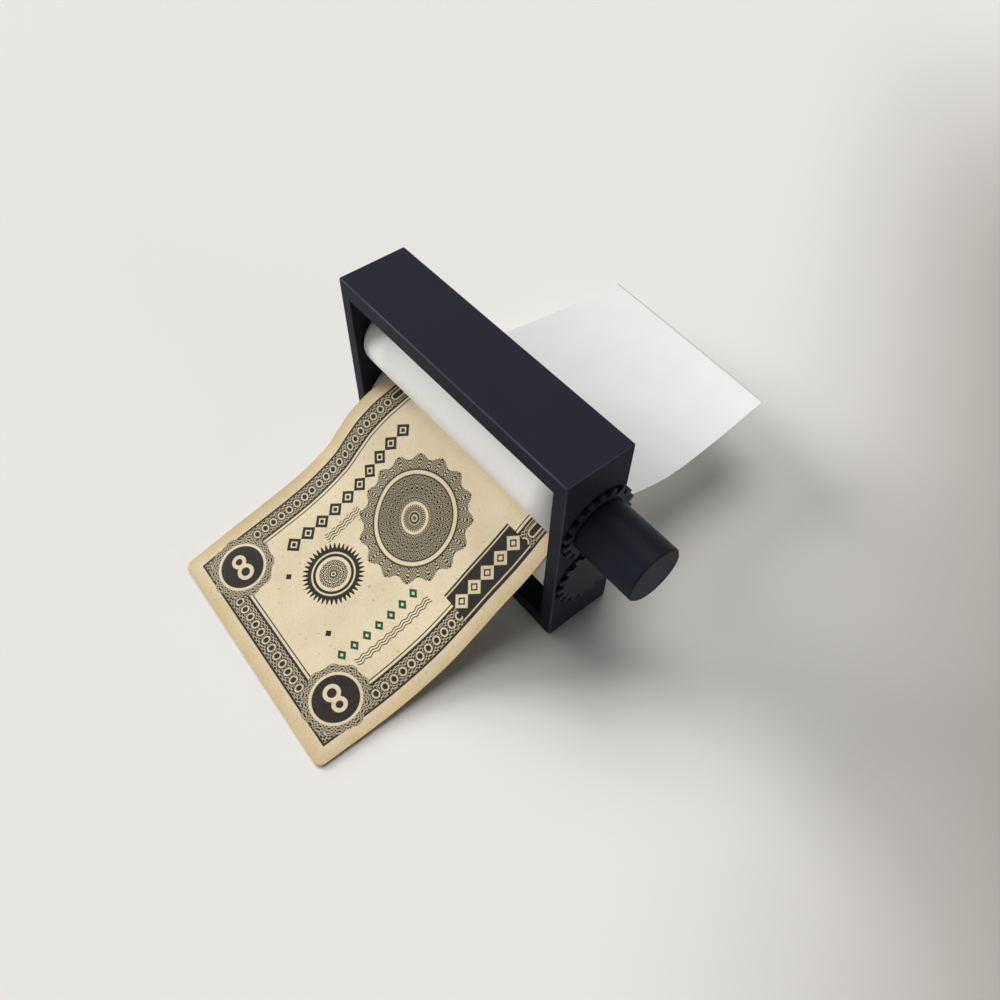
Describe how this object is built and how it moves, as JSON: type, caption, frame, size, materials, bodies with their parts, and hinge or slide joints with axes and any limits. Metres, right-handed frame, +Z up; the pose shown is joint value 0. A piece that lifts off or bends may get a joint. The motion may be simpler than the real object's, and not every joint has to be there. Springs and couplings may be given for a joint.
{
  "type": "money printing magic machine",
  "caption": "Hand-cranked magic prop: a black frame with two geared rolls joined by a white strip, a note coming out of the front and blank paper going in at the back.",
  "frame": {"origin": "middle of the frame's underside", "axes": "+Z up, +X along the rolls towards the knob, +Y towards the back, where the blank paper goes in"},
  "size_m": [0.0976, 0.155, 0.059],
  "materials": {
    "black_plastic": "semi-gloss moulded plastic",
    "white_plastic": "matte",
    "steel": "drawn",
    "bush": "matte",
    "strip": "smooth vinyl film",
    "note": "printed paper",
    "paper": "plain paper"
  },
  "bodies": {
    "frame": {"frame": "black_plastic", "upper_left_bush": "bush", "upper_right_bush": "bush", "lower_left_bush": "bush", "lower_right_bush": "bush", "strip_crossing": "strip", "blank_paper": "paper"},
    "upper_roller": {"upper_shaft": "steel", "upper_core": "white_plastic", "upper_left_plug": "white_plastic", "upper_right_plug": "white_plastic", "upper_wound_strip": "strip", "upper_gear": "black_plastic", "knob": "black_plastic"},
    "lower_roller": {"lower_shaft": "steel", "lower_core": "white_plastic", "lower_left_plug": "white_plastic", "lower_right_plug": "white_plastic", "lower_wound_strip": "strip", "lower_gear": "black_plastic"},
    "note": {"banknote": "note"}
  },
  "joints": [
    {"name": "crank_spin", "type": "hinge", "parent": "frame", "child": "upper_roller", "pos_m": [0, 0.0013, 0.03895], "axis": [-1, 0, 0], "range_deg": [0, 480], "deforming": ["blank_paper"]},
    {"name": "lower_spin", "type": "hinge", "parent": "frame", "child": "lower_roller", "pos_m": [0, 0.0013, 0.02005], "axis": [1, 0, 0], "range_deg": [0, 480]},
    {"name": "note_feed", "type": "slide", "parent": "frame", "child": "note", "axis": [0, -1, 0], "range_m": [0, 0.077]}
  ],
  "couplings": [
    {"joint": "lower_spin", "follows": "crank_spin", "ratio": 1},
    {"joint": "note_feed", "follows": "crank_spin", "m_per_rad": 0.0089}
  ]
}
